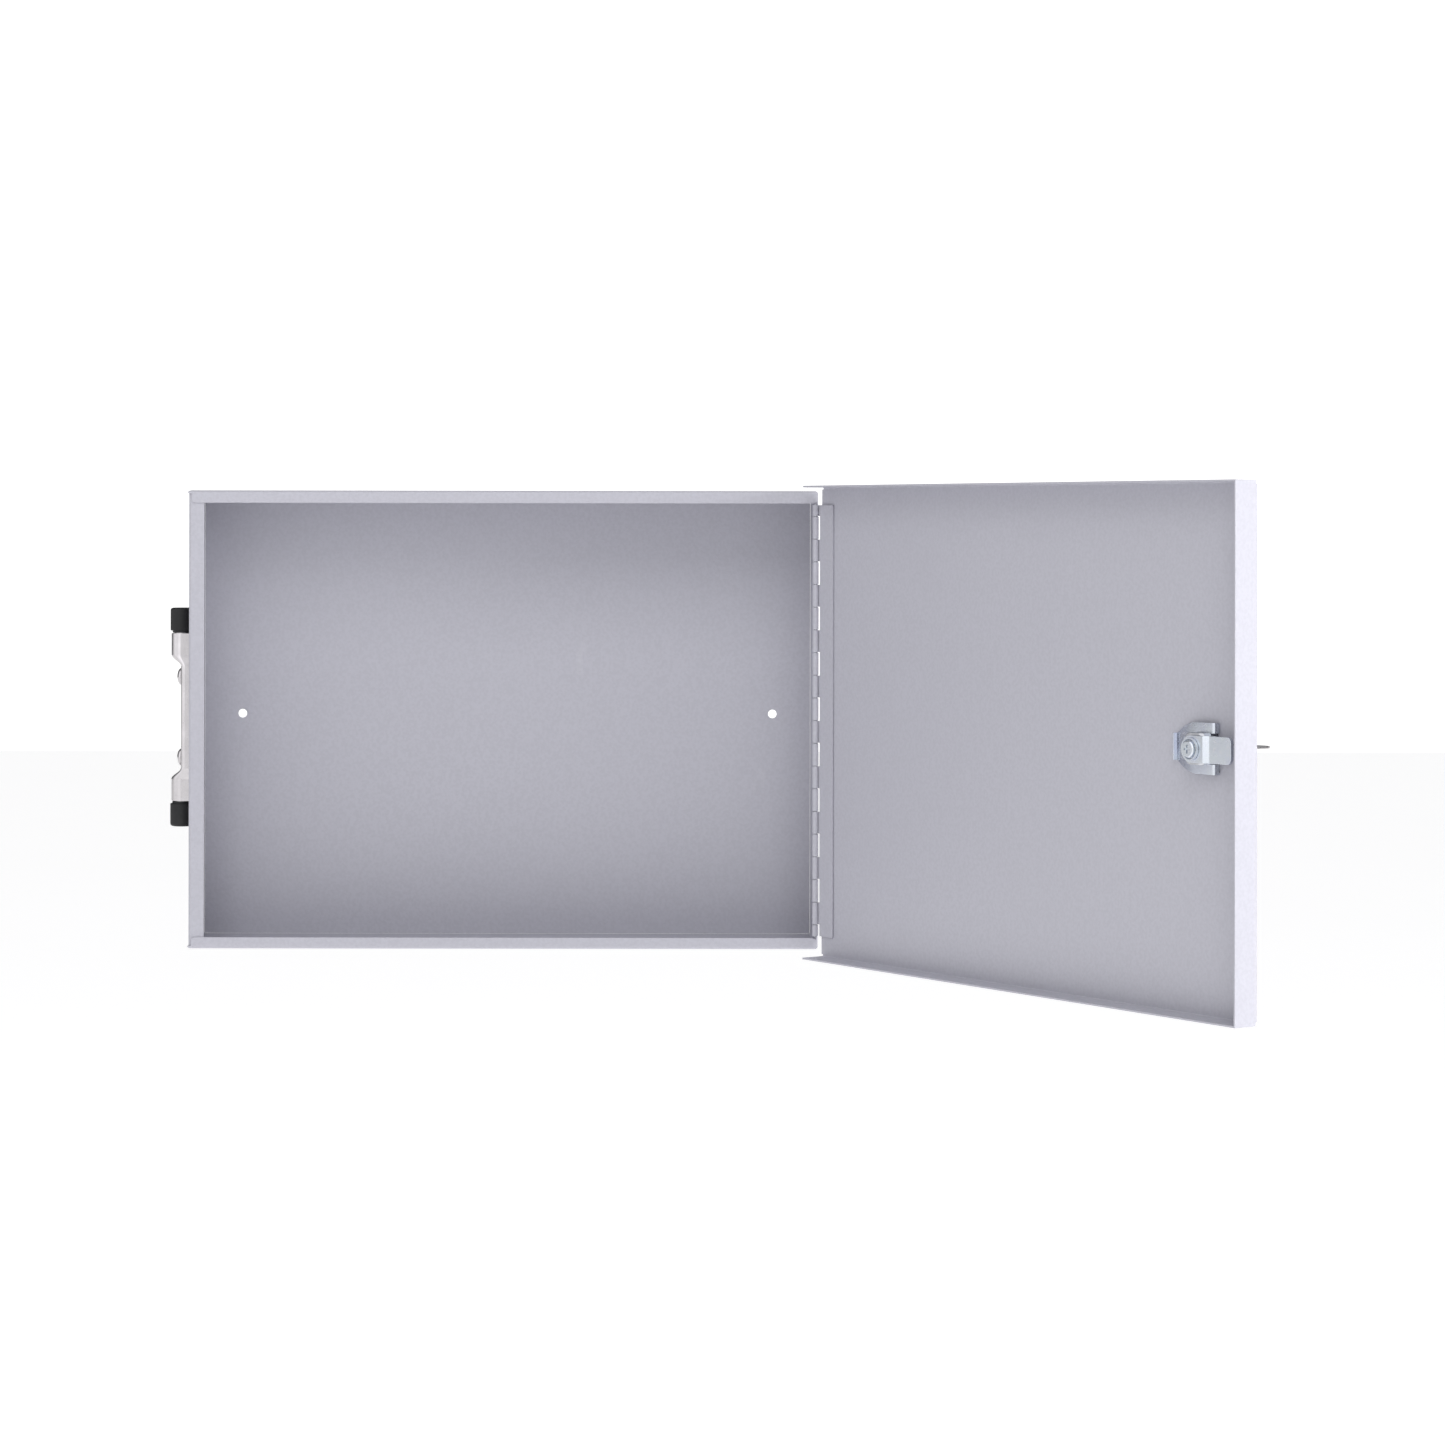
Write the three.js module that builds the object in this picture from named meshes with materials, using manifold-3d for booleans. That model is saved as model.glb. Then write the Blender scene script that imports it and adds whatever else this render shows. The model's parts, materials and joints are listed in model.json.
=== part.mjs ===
// Wall key cabinet: a folded sheet-steel box with an overlapping door on a piano hinge,
// a cam lock with its key, and a folding carrying handle on the left side.
// Millimetres. Origin: centre of the back panel's rear face.
// +X right, +Y into the wall, +Z up. The door stands open.

import * as THREE from 'three';
import { mergeVertices } from 'three/addons/utils/BufferGeometryUtils.js';
import Module from 'manifold-3d';

const wasm = await Module();
wasm.setup();

// ---------------------------------------------------------------- driving dimensions

// Cabinet body
const cabinetWidth = 353;
const cabinetHeight = 257;
const cabinetDepth = 73;
const sheet = 1; // steel sheet of the body and the door
const bendRadius = 1.6; // outside radius of a fold
const topLip = 7; // inward returns around the front
const bottomLip = 6.4;
const sideLip = 8.7;
const lipCornerRadius = 3.4; // of the top and bottom returns at the hinge
const lapCornerRadius = 4.6; // of their ends over the left return
const lipOverhang = 0.5; // of the top and bottom returns beyond the side wall
const weldGap = 0.15; // between sheets that meet at a weld
const wallHoleRadius = 2.5;
const wallHoleSpacing = 307;

// Piano hinge
const hingePitch = 12.7; // length of one knuckle with its gap
const hingeMargin = 7; // least distance from the hinge's ends to the body's ends
const knuckleRadius = 1.75;
const knuckleGap = 0.5; // between neighbouring knuckles
const leafThickness = 0.8;
const leafWidth = 14.5; // from the pin's axis
const leafNotch = 0.9; // clear of the other leaf's knuckles
const pinRadius = 0.9;
const pinClearance = 0.08;
const pinOverhang = 0.5;
const hingeInset = 1.5; // axis inside the body's right face
const hingeStandOff = 2.1; // axis in front of the body's front edge
const seatGap = 0.3; // between fastened pieces

// Door
const doorAngle = THREE.MathUtils.degToRad(124); // opening shown
const doorEdge = 3.2; // hinge axis to the panel's hinged edge
const flangeEnd = 4.5; // hinge axis to the ends of the top and bottom flanges
const doorSideGap = 1.3; // free-edge flange to the body's left face
const doorTopGap = 1.9;
const doorBottomGap = 3.1;
const flangeDepth = 14.3; // inside the pan
const cornerRelief = 0.4; // slit between two flanges at a corner

// Cam lock
const lockFromFreeEdge = 34.4; // lock axis to the door's free edge
const lockHeadRadius = 12;
const lockHeadThickness = 2.5;
const barrelRadius = 9.5;
const barrelAcrossFlats = 15.6; // flats above and below
const barrelFit = 0.3; // barrel in the door's hole
const barrelInside = 9.65; // barrel's end above the door's inner face
const barrelBevel = 1.2; // round the barrel's end, clear of the cam's joggle
const plugRadius = 6.2;
const plugClearance = 0.1;
const plugFloor = 0.2; // plug shoulder to the barrel's end
const driveSquare = 8;
const driveFit = 0.12;
const grooveWidth = 6.6; // grooves in the barrel that take the wafers
const grooveDepth = 0.8;

// Wafers and their springs
const waferCount = 4;
const waferPitch = 2.1;
const waferThickness = 0.8;
const waferWidth = 6;
const waferFit = 0.1;
const waferTravel = 0.5;
const firstWafer = 2.8; // behind the lock's face
const lugReach = 1.9;
const lugThickness = 0.9;
const springRadius = 0.7;
const springWire = 0.14;
const springLength = 2.2;
const springTurns = 4;

// Key
const keyThickness = 1.3;
const keyWidth = 7; // of the blade
const keyTipLength = 2.1; // past the last wafer
const keyTipChamfer = 1;
const keyFit = 0.15; // blade in the keyway
const keyBowWidth = 23.6;
const keyBowLength = 24;
const keyBowRadius = 4;
const keyNeck = 4.5; // from the lock's face to the bow
const keyHoleRadius = 3.4;
const keyCutDepths = [0.9, 0.6, 1, 0.7];

// Cam, its washer and screw
const camWidth = 13.4;
const camThickness = 1.8;
const camReach = 26.4;
const camHeel = 7.2;
const camJoggle = 2; // the tip's step towards the door
const camJoggleClear = 0.1; // joggle's start beyond the flat of the barrel's end
const camJoggleLength = 2.6;
const camTipRadius = 3;
const stackGap = 0.1; // between the cam, washer and screw
const washerRadius = 5.7;
const washerThickness = 0.7;
const washerRim = 0.6;
const screwHeadRadius = 4.3;
const screwHeadHeight = 1.7;
const screwRadius = 2;
const screwLength = 4.1;

// Retaining clip
const clipWidth = 25.5;
const clipThickness = 1;
const clipSlot = 15;
const clipCrown = 2.4; // height of the bow
const clipHeel = 22.3; // lock axis to the turned-up tab
const clipToe = 8.4; // lock axis to the ends of the legs
const clipTabWidth = 13.6;
const clipTabHeight = 3;
const clipHookRadius = 1.6; // outside the bend of the legs' ends, which turn down to the door
const clipSlotHead = 0.25; // slot's round end beyond the barrel

// Carrying handle
const handleFromFront = 30; // pivot axis behind the body's front edge
const pivotStandOff = 6.95; // pivot axis off the side wall
const bracketLength = 95.1;
const bracketSheet = 1.5;
const barrelLength = 14.5;
const shoulderLength = 5.5;
const bracketMidHeight = 7.1;
const bracketMidHalfWidth = 7.6;
const bracketMidRadius = 2.4;
const pivotRadius = 4.5;
const pivotClearance = 0.15;
const pivotInBarrel = 12;
const pivotInGrip = 10;
const bossRadius = 6.75;
const bossLength = 14.2;
const bossGap = 0.3; // between a boss and the bracket's end
const neckRadius = 5.6;
const neckLength = 1.2;
const bossEdgeRadius = 1.6;
const gripReach = 31; // pivot axis to the bar's middle
const gripThickness = 7.6;
const gripDepth = 12; // section of the bar, in the loop's plane
const gripSectionRadius = 3.2;
const gripBend = 13; // centreline radius at the corners
const rivetSpacing = 45.8;
const rivetHeadRadius = 4.8;
const rivetHeadHeight = 2.5;
const rivetShankRadius = 2.4;
const rivetShoulderRadius = 4;
const rivetTailRadius = 3.8;
const rivetTailHeight = 1.4;
const rivetFit = 0.15;

// ---------------------------------------------------------------- derived places

const halfWidth = cabinetWidth / 2;
const halfHeight = cabinetHeight / 2;
const frontY = -cabinetDepth;
const hingeX = halfWidth - hingeInset;
const hingeY = frontY - hingeStandOff;
const hingeJoints = Math.floor((cabinetHeight - 2 * hingeMargin) / hingePitch);
const hingeLength = hingeJoints * hingePitch;

// In the door's own frame the pin is the origin, -x runs to the free edge and +y to the inside.
const leafFace = -knuckleRadius; // outer face of the door's leaf
const doorInner = leafFace - seatGap;
const doorOuter = doorInner - sheet;
const doorFreeEdge = hingeX + halfWidth + doorSideGap + sheet;
const doorTop = halfHeight + doorTopGap + sheet;
const doorBottom = -halfHeight - doorBottomGap - sheet;
const flangeTip = doorInner + flangeDepth;
const lockX = -(doorFreeEdge - lockFromFreeEdge);

// In the lock's own frame its axis is y and the same planes hold.
const headSeat = doorOuter - seatGap;
const lockFace = headSeat - lockHeadThickness;
const barrelEnd = doorInner + barrelInside;
const camSeat = barrelEnd + stackGap;
const camTop = camSeat + camThickness;
const washerSeat = camTop + stackGap;
const screwSeat = washerSeat + washerThickness + stackGap;
const clipSeat = doorInner + seatGap;
const boreRadius = plugRadius + plugClearance;
const keyTip = lockFace + firstWafer + (waferCount - 1) * waferPitch + keyTipLength;
const keywayEnd = keyTip + seatGap;

const camJoggleStart = barrelRadius - barrelBevel + camJoggleClear;
const camJoggleEnd = camJoggleStart + camJoggleLength;

// In the handle's own frame the pivot axis is z, the wall is at x = pivotStandOff, +y to the rear.
const wallX = pivotStandOff;
const barrelOuter = pivotRadius + pivotClearance + bracketSheet;
const bracketHalf = bracketLength / 2;
const midTop = wallX - bracketMidHeight;

// ---------------------------------------------------------------- solid helpers

function outwardGeometry(geometry) {
  let source = geometry.clone();
  source.deleteAttribute('normal');
  source.deleteAttribute('uv');
  source = mergeVertices(source, 1e-5);
  const position = source.getAttribute('position');
  const triangles = [];
  let volume = 0;
  const [a, b, c] = [new THREE.Vector3(), new THREE.Vector3(), new THREE.Vector3()];
  for (let i = 0; i < source.index.count; i += 3) {
    const corners = [0, 1, 2].map((k) => source.index.getX(i + k));
    if (new Set(corners).size < 3) continue;
    a.fromBufferAttribute(position, corners[0]);
    b.fromBufferAttribute(position, corners[1]);
    c.fromBufferAttribute(position, corners[2]);
    volume += a.dot(b.clone().cross(c));
    triangles.push(...corners);
  }
  if (volume < 0) {
    for (let i = 0; i < triangles.length; i += 3) {
      [triangles[i], triangles[i + 1]] = [triangles[i + 1], triangles[i]];
    }
  }
  return { vertices: new Float32Array(position.array), triangles: new Uint32Array(triangles) };
}

function solid(geometry) {
  const { vertices, triangles } = outwardGeometry(geometry);
  return new wasm.Manifold(new wasm.Mesh({ numProp: 3, vertProperties: vertices, triVerts: triangles }));
}

function joined(solids) {
  return solids.reduce((sum, next) => sum.add(next));
}

function meshOf(name, body, material) {
  const result = body.getMesh();
  const geometry = new THREE.BufferGeometry();
  geometry.setAttribute('position', new THREE.BufferAttribute(new Float32Array(result.vertProperties), 3));
  geometry.setIndex(new THREE.BufferAttribute(new Uint32Array(result.triVerts), 1));
  const flat = geometry.toNonIndexed();
  flat.computeVertexNormals();
  const mesh = new THREE.Mesh(flat, material);
  mesh.name = name;
  return mesh;
}

// A box from its lowest to its highest corner.
function box(low, high) {
  const geometry = new THREE.BoxGeometry(high[0] - low[0], high[1] - low[1], high[2] - low[2]);
  geometry.translate((low[0] + high[0]) / 2, (low[1] + high[1]) / 2, (low[2] + high[2]) / 2);
  return solid(geometry);
}

// Extrusions of a shape drawn in the plane across the named axis.
function alongZ(shape, from, to, curveSegments = 8) {
  const geometry = new THREE.ExtrudeGeometry(shape, { depth: to - from, bevelEnabled: false, curveSegments });
  geometry.translate(0, 0, from);
  return solid(geometry);
}

function alongY(shape, from, to, curveSegments = 8) {
  const geometry = new THREE.ExtrudeGeometry(shape, { depth: to - from, bevelEnabled: false, curveSegments });
  geometry.rotateX(Math.PI / 2);
  geometry.translate(0, to, 0);
  return solid(geometry);
}

function alongX(shape, from, to, curveSegments = 8) {
  const geometry = new THREE.ExtrudeGeometry(shape, { depth: to - from, bevelEnabled: false, curveSegments });
  geometry.applyMatrix4(new THREE.Matrix4().set(0, 0, 1, 0, 1, 0, 0, 0, 0, 1, 0, 0, 0, 0, 0, 1));
  geometry.translate(from, 0, 0);
  return solid(geometry);
}

// A turned piece: [radius, place along the axis] pairs that start and end on the axis.
function turnedY(profile, segments) {
  const points = profile.map(([radius, place]) => new THREE.Vector2(radius, place));
  return solid(new THREE.LatheGeometry(points, segments));
}

function turnedZ(profile, segments) {
  const points = profile.map(([radius, place]) => new THREE.Vector2(radius, place));
  const geometry = new THREE.LatheGeometry(points, segments);
  geometry.rotateX(Math.PI / 2);
  return solid(geometry);
}

function turnedX(profile, segments) {
  const points = profile.map(([radius, place]) => new THREE.Vector2(radius, place));
  const geometry = new THREE.LatheGeometry(points, segments);
  geometry.rotateZ(-Math.PI / 2);
  return solid(geometry);
}

function rod(radius, from, to) {
  return [[0, from], [radius, from], [radius, to], [0, to]];
}

function polygon(points) {
  const shape = new THREE.Shape();
  shape.setFromPoints(points.map(([x, y]) => new THREE.Vector2(x, y)));
  return shape;
}

// A rectangle whose four corner radii run from low-low round to low-high.
function roundedRectangle(x0, y0, x1, y1, radii) {
  const [a, b, c, d] = radii;
  const shape = new THREE.Shape();
  shape.moveTo(x0 + a, y0);
  shape.lineTo(x1 - b, y0);
  if (b > 0) shape.absarc(x1 - b, y0 + b, b, -Math.PI / 2, 0, false);
  shape.lineTo(x1, y1 - c);
  if (c > 0) shape.absarc(x1 - c, y1 - c, c, 0, Math.PI / 2, false);
  shape.lineTo(x0 + d, y1);
  if (d > 0) shape.absarc(x0 + d, y1 - d, d, Math.PI / 2, Math.PI, false);
  shape.lineTo(x0, y0 + a);
  if (a > 0) shape.absarc(x0 + a, y0 + a, a, Math.PI, 1.5 * Math.PI, false);
  return shape;
}

// A skin through rings of equal point count, closed with a flat cap at each end.
function lofted(rings) {
  const count = rings[0].length;
  const vertices = rings.flat().flatMap((point) => [point.x, point.y, point.z]);
  const index = [];
  for (let ring = 0; ring < rings.length - 1; ring += 1) {
    for (let i = 0; i < count; i += 1) {
      const next = (i + 1) % count;
      const [a, b] = [ring * count + i, ring * count + next];
      index.push(a, b, b + count, a, b + count, a + count);
    }
  }
  const capOf = (ring) => {
    const normal = new THREE.Vector3();
    ring.forEach((point, i) => normal.add(point.clone().cross(ring[(i + 1) % count])));
    normal.normalize();
    const side = ring[1].clone().sub(ring[0]).normalize();
    const other = normal.clone().cross(side);
    const flat = ring.map((point) => new THREE.Vector2(point.dot(side), point.dot(other)));
    return THREE.ShapeUtils.triangulateShape(flat, []);
  };
  const last = (rings.length - 1) * count;
  capOf(rings[0]).forEach(([a, b, c]) => index.push(a, c, b));
  capOf(rings.at(-1)).forEach(([a, b, c]) => index.push(last + a, last + b, last + c));
  const geometry = new THREE.BufferGeometry();
  geometry.setAttribute('position', new THREE.Float32BufferAttribute(vertices, 3));
  geometry.setIndex(index);
  return solid(geometry);
}

function finish(color, roughness, metalness) {
  return new THREE.MeshStandardMaterial({ color, roughness, metalness });
}

const paint = finish(0xb4b2bd, 0.5, 0.1);
const zinc = finish(0xa6b2b8, 0.3, 0.9);
const chrome = finish(0xc8c8ce, 0.18, 1);
const brass = finish(0xb59a54, 0.35, 0.9);
const springSteel = finish(0x8a8d92, 0.35, 0.9);
const nickel = finish(0xc9c6cb, 0.22, 1);
const blackPlastic = finish(0x121214, 0.5, 0);

// ---------------------------------------------------------------- cabinet body

// Bar along an edge that runs from low to high; taking it away leaves a fold of the bend radius.
// The edge's two faces run from the corner point in the directions u and v.
function foldCut(along, [cornerU, cornerV], [signU, signV], low, high) {
  const at = (u, v) => [cornerU + signU * u, cornerV + signV * v];
  const points = [at(-1, -1), at(bendRadius, -1)];
  for (let i = 0; i <= 6; i += 1) {
    const angle = i * Math.PI / 12;
    points.push(at(bendRadius * (1 - Math.sin(angle)), bendRadius * (1 - Math.cos(angle))));
  }
  points.push(at(-1, bendRadius));
  return along(polygon(points), low, high);
}

// The four walls bent from one strip, with returns along the top, bottom and left of the front.
// The top and bottom returns lap over the ends of the left one, which lies one sheet further back.
function makeWallRing() {
  const outline = roundedRectangle(-halfWidth, -halfHeight, halfWidth, halfHeight, Array(4).fill(bendRadius));
  const inside = bendRadius - sheet;
  const hollow = roundedRectangle(
    -halfWidth + sheet, -halfHeight + sheet, halfWidth - sheet, halfHeight - sheet, Array(4).fill(inside));
  outline.holes.push(new THREE.Path(hollow.getPoints(4)));
  const straight = halfHeight - bendRadius;
  const lapped = frontY + sheet;
  const setBack = box([-halfWidth - 1, frontY - 1, -straight], [-halfWidth + sheet, lapped, straight]);
  const walls = alongY(outline, frontY, 0, 4).subtract(setBack);
  const corner = bendRadius;
  const round = lipCornerRadius;
  const lap = lapCornerRadius;
  const end = -halfWidth - lipOverhang;
  const top = roundedRectangle(
    end, halfHeight - topLip, halfWidth, halfHeight, [lap, round, corner, corner]);
  const bottom = roundedRectangle(
    end, -halfHeight, halfWidth, -halfHeight + bottomLip, [corner, corner, round, lap]);
  const side = roundedRectangle(
    -halfWidth, -halfHeight, -halfWidth + sideLip, halfHeight, [corner, 0, 0, corner]);
  const lips = [
    alongY(top, frontY, lapped, 4), alongY(bottom, frontY, lapped, 4),
    alongY(side, lapped, lapped + sheet, 4)];
  const folds = [
    foldCut(alongX, [frontY, halfHeight], [1, -1], end - 1, halfWidth + 1),
    foldCut(alongX, [frontY, -halfHeight], [1, 1], end - 1, halfWidth + 1),
    foldCut(alongZ, [-halfWidth, lapped], [1, 1], -straight, straight),
  ];
  return joined([walls, ...lips]).subtract(joined(folds));
}

function makeBackPanel() {
  const x = halfWidth - sheet - weldGap;
  const z = halfHeight - sheet - weldGap;
  const shape = roundedRectangle(-x, -z, x, z, Array(4).fill(bendRadius - sheet));
  for (const side of [-1, 1]) {
    const hole = new THREE.Path();
    hole.absarc(side * wallHoleSpacing / 2, 0, wallHoleRadius, 0, 2 * Math.PI, true);
    shape.holes.push(hole);
  }
  return alongY(shape, -sheet, 0, 10);
}

// ---------------------------------------------------------------- piano hinge

// Knuckle spans from the top down: a half knuckle at each end, full ones between.
function knuckleSpans() {
  const spans = [];
  for (let i = 0; i <= hingeJoints; i += 1) {
    const high = i === 0 ? hingeLength / 2 : hingeLength / 2 - (i - 0.5) * hingePitch;
    const low = i === hingeJoints ? -hingeLength / 2 : hingeLength / 2 - (i + 0.5) * hingePitch;
    spans.push([low, high]);
  }
  return spans;
}

// A leaf as a flat strip in x from the pin, with every second knuckle; offset is its outer face in y.
function makeLeaf(first, offset) {
  const spans = knuckleSpans();
  const clear = knuckleRadius + leafNotch;
  const plate = box([-leafWidth, offset, -hingeLength / 2], [-clear, offset + leafThickness, hingeLength / 2]);
  const pieces = [plate];
  spans.forEach(([low, high], i) => {
    if (i % 2 !== first) return;
    const from = low + (i === hingeJoints ? 0 : knuckleGap / 2);
    const to = high - (i === 0 ? 0 : knuckleGap / 2);
    pieces.push(turnedZ(rod(knuckleRadius, from, to), 20));
    pieces.push(box([-clear - 0.1, offset, from], [0, offset + leafThickness, to]));
  });
  const bore = turnedZ(rod(pinRadius + pinClearance, -hingeLength, hingeLength), 20);
  return joined(pieces).subtract(bore);
}

function makeHingePin() {
  const reach = hingeLength / 2 + pinOverhang;
  return turnedZ(rod(pinRadius, -reach, reach), 20);
}

// ---------------------------------------------------------------- door

// Section of the panel turned up into a flange: [place along the panel, place in depth] pairs.
function foldSection(edge, inwards, panelTo) {
  const centre = edge + inwards * bendRadius;
  const arc = (radius, from, to) => [0, 0.25, 0.5, 0.75, 1].map((share) => {
    const angle = from + share * (to - from);
    return [centre - inwards * radius * Math.cos(angle), doorOuter + bendRadius - radius * Math.sin(angle)];
  });
  return [
    [panelTo, doorInner],
    ...arc(bendRadius - sheet, Math.PI / 2, 0),
    [edge + inwards * sheet, flangeTip],
    [edge, flangeTip],
    ...arc(bendRadius, 0, Math.PI / 2),
    [panelTo, doorOuter],
  ];
}

// Panel with flanges turned inwards along the free, top and bottom edges; the hinged edge is plain.
// Above the folds the free-edge flange runs the full height and the other two stop against it.
function makeDoorPan() {
  const strip = bendRadius + cornerRelief;
  const folded = doorOuter + bendRadius;
  const panel = alongZ(polygon(foldSection(-doorFreeEdge, 1, -doorEdge)), doorBottom + strip, doorTop - strip)
    .add(box([-doorFreeEdge, folded, doorBottom], [-doorFreeEdge + sheet, flangeTip, doorTop]));
  const flanges = [[doorTop, -1], [doorBottom, 1]].map(([edge, inwards]) => {
    const section = foldSection(edge, inwards, edge + inwards * (strip + sheet));
    const flange = alongX(polygon(section.map(([z, y]) => [y, z])), -doorFreeEdge + strip, -flangeEnd);
    return flange.add(box(
      [-doorFreeEdge + sheet + weldGap, folded, Math.min(edge, edge + inwards * sheet)],
      [-doorFreeEdge + strip + sheet, flangeTip, Math.max(edge, edge + inwards * sheet)]));
  });
  const opening = barrelSolid(barrelFit, doorOuter - sheet, doorInner + sheet).translate([lockX, 0, 0]);
  return joined([panel, ...flanges]).subtract(opening);
}

// ---------------------------------------------------------------- cam lock

// The barrel's round with its two flats, grown all round by a clearance.
function barrelSolid(clearance, from, to) {
  const radius = barrelRadius + clearance;
  const flat = barrelAcrossFlats / 2 + clearance;
  return turnedY(rod(radius, from, to), 40).intersect(box([-radius, from, -flat], [radius, to, flat]));
}

function makeLockHousing() {
  const edge = 0.8;
  const head = turnedY([
    [0, lockFace], [lockHeadRadius - edge, lockFace], [lockHeadRadius, lockFace + edge],
    [lockHeadRadius, headSeat], [0, headSeat]], 40);
  const bevelled = turnedY([
    [0, headSeat - sheet], [barrelRadius, headSeat - sheet], [barrelRadius, barrelEnd - barrelBevel],
    [barrelRadius - barrelBevel, barrelEnd], [0, barrelEnd]], 40);
  const body = head.add(barrelSolid(0, headSeat - sheet, barrelEnd).intersect(bevelled));
  const slotDepth = clipSlot / 2 - 0.1;
  const slotTop = clipSeat + clipCrown + clipThickness + seatGap;
  const slots = [-1, 1].map((side) => {
    const near = side * slotDepth;
    const far = side * (barrelRadius + 1);
    return box(
      [-lockHeadRadius, doorInner, Math.min(near, far)], [lockHeadRadius, slotTop, Math.max(near, far)]);
  });
  const bore = turnedY(rod(boreRadius, lockFace - 1, barrelEnd + 1), 40);
  const reach = boreRadius + grooveDepth;
  const half = grooveWidth / 2;
  const grooveFrom = lockFace + firstWafer - waferPitch / 2;
  const grooveTo = grooveFrom + waferCount * waferPitch;
  const grooves = [
    box([-reach, grooveFrom, -half], [reach, grooveTo, half]),
    box([-half, grooveFrom, -reach], [half, grooveTo, reach]),
  ];
  return body.subtract(joined([...slots, bore, ...grooves]));
}

function waferPlaces() {
  return Array.from({ length: waferCount }, (_, i) => lockFace + firstWafer + i * waferPitch);
}

const lugSide = waferWidth / 2;
const springX = -lugThickness / 2 - seatGap;

function makePlug() {
  const shoulder = barrelEnd - plugFloor;
  const drive = driveSquare / 2;
  const body = turnedY(rod(plugRadius, lockFace, shoulder), 40)
    .add(box([-drive, shoulder - 1, -drive], [drive, camTop, drive]));
  const cuts = [
    box([-keyWidth / 2 - keyFit, lockFace - 1, -keyThickness / 2 - keyFit],
      [keyWidth / 2 + keyFit, keywayEnd, keyThickness / 2 + keyFit]),
    turnedY(rod(screwRadius + seatGap / 2, screwSeat - screwLength - seatGap / 2, camTop + 1), 20),
  ];
  for (const place of waferPlaces()) {
    const half = waferThickness / 2 + waferFit;
    const side = lugSide + waferFit;
    cuts.push(box([-plugRadius - 1, place - half, -side], [plugRadius + 1, place + half, side]));
    const pocketHalf = springRadius + seatGap / 2;
    cuts.push(box(
      [springX - springLength - waferFit, place - pocketHalf, lugSide - 0.1],
      [lugThickness / 2 + waferTravel + waferFit, place + pocketHalf, lugSide + lugReach + waferFit]));
  }
  return body.subtract(joined(cuts));
}

// A tumbler plate whose ends follow the plug, with the key's window and a lug for its spring.
function makeWafer(place) {
  const half = waferThickness / 2;
  const disc = turnedY(rod(plugRadius - 0.05, place - half, place + half), 40);
  const plate = disc.intersect(box([-plugRadius, place - half, -lugSide], [plugRadius, place + half, lugSide]));
  const lug = box(
    [-lugThickness / 2, place - half, lugSide - 0.5], [lugThickness / 2, place + half, lugSide + lugReach]);
  const windowHalf = keyThickness / 2 + 2 * keyFit;
  const window = box(
    [-keyWidth / 2 - 2 * keyFit - waferTravel, place - 1, -windowHalf],
    [keyWidth / 2 + 2 * keyFit, place + 1, windowHalf]);
  return plate.add(lug).subtract(window);
}

// A coil spring lying along x, pushing its wafer's lug towards +x.
function makeWaferSpring(place) {
  const coil = new THREE.Curve();
  const mean = springRadius - springWire / 2;
  coil.getPoint = (share, target = new THREE.Vector3()) => {
    const angle = 2 * Math.PI * springTurns * share;
    return target.set(
      springX - springLength + springWire + share * (springLength - 2 * springWire),
      place + mean * Math.cos(angle),
      lugSide + lugReach / 2 + mean * Math.sin(angle));
  };
  const wire = new THREE.Shape();
  wire.absarc(0, 0, springWire / 2, 0, 2 * Math.PI, false);
  const options = { steps: springTurns * 8, extrudePath: coil, bevelEnabled: false, curveSegments: 3 };
  return solid(new THREE.ExtrudeGeometry(wire, options));
}

// Bow, neck and blade cut from one flat plate; the blade's cuts meet the wafers.
function makeKey() {
  const shoulder = lockFace - keyNeck;
  const bow = roundedRectangle(
    -keyBowWidth / 2, shoulder - keyBowLength, keyBowWidth / 2, shoulder, Array(4).fill(keyBowRadius));
  const hole = new THREE.Path();
  hole.absarc(0, shoulder - keyBowLength + 2 * keyHoleRadius, keyHoleRadius, 0, 2 * Math.PI, true);
  bow.holes.push(hole);
  const half = keyWidth / 2;
  const bevel = keyTipChamfer;
  const outline = [
    [half, shoulder - 1], [half, keyTip - bevel], [half - bevel, keyTip], [-half + bevel, keyTip],
    [-half, keyTip - bevel]];
  waferPlaces().reverse().forEach((place, i) => {
    const depth = keyCutDepths[i % keyCutDepths.length];
    outline.push([-half, place + depth], [-half + depth, place], [-half, place - depth]);
  });
  outline.push([-half, shoulder - 1]);
  const across = (shape) => alongZ(shape, -keyThickness / 2, keyThickness / 2, 6);
  return across(bow).add(across(polygon(outline)));
}

// A strip with a joggle in side view and a rounded tip in plan, with a square hole for the plug.
function makeCam() {
  const low = camSeat - camJoggle;
  const section = polygon([
    [camHeel, camSeat], [camHeel, camTop], [-camJoggleStart, camTop], [-camJoggleEnd, camTop - camJoggle],
    [-camReach, camTop - camJoggle], [-camReach, low], [-camJoggleEnd, low], [-camJoggleStart, camSeat]]);
  const half = camWidth / 2;
  const strip = alongZ(section, -half, half);
  const heelRound = half - 0.01;
  const plan = roundedRectangle(
    -camReach, -half, camHeel, half, [camTipRadius, heelRound, heelRound, camTipRadius]);
  const square = driveSquare / 2 + driveFit;
  const hole = box([-square, low - 1, -square], [square, camTop + 1, square]);
  return strip.intersect(alongY(plan, low - 1, camTop + 1, 8)).subtract(hole);
}

function makeWasher() {
  const hole = screwRadius + seatGap;
  const seat = screwHeadRadius + seatGap;
  const top = washerSeat + washerThickness;
  return turnedY([
    [hole, washerSeat], [washerRadius, washerSeat], [washerRadius, top + washerRim],
    [seat + 0.4, top + washerRim], [seat, top], [hole, top], [hole, washerSeat]], 36);
}

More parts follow.
